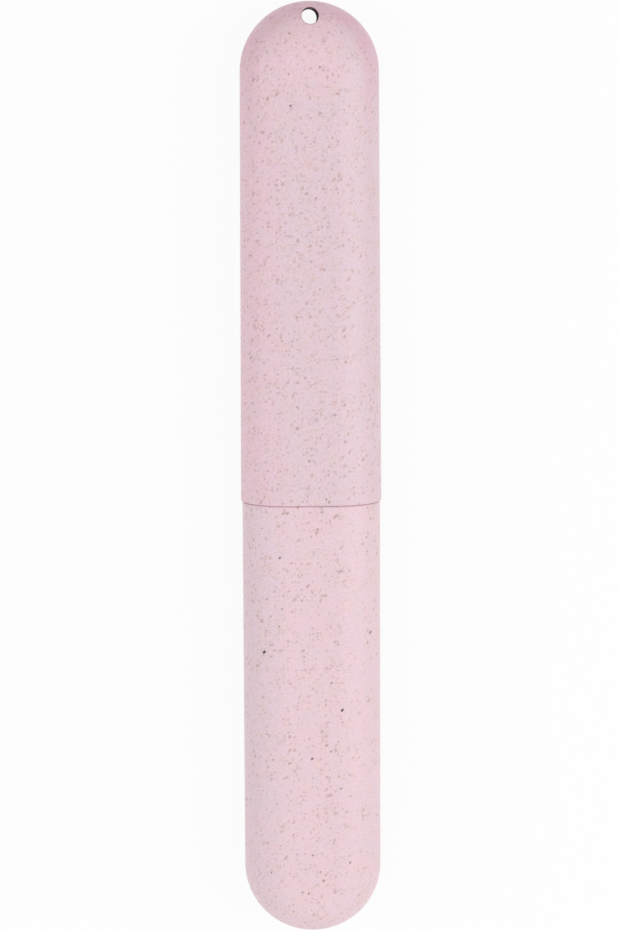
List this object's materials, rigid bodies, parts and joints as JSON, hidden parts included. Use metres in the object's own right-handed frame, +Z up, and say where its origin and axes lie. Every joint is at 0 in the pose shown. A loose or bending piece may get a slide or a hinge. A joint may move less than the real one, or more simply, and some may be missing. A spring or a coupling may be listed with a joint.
{
  "type": "toothbrush travel case",
  "caption": "Flattened capsule-shaped travel case for a toothbrush, with a cap that pushes onto a beaded neck on the base and a hanging hole through the cap's round end.",
  "frame": {"origin": "on the surface that the case lies on, below the middle of its length and width", "axes": "+Y along the case towards the cap's round end, +X across its width, +Z up through its front face"},
  "size_m": [0.0306, 0.2036, 0.021],
  "materials": {
    "base_plastic": "satin plant-fibre-filled polypropylene, pale pink with tan and brown flecks",
    "cap_plastic": "satin plant-fibre-filled polypropylene, slightly greyer pale pink with tan and brown flecks"
  },
  "bodies": {
    "base": {"base": "base_plastic"},
    "cap": {"cap": "cap_plastic"}
  },
  "joints": [
    {"name": "cap_pull", "type": "slide", "parent": "base", "child": "cap", "axis": [0, 1, 0], "range_m": [0, 0.12]}
  ]
}
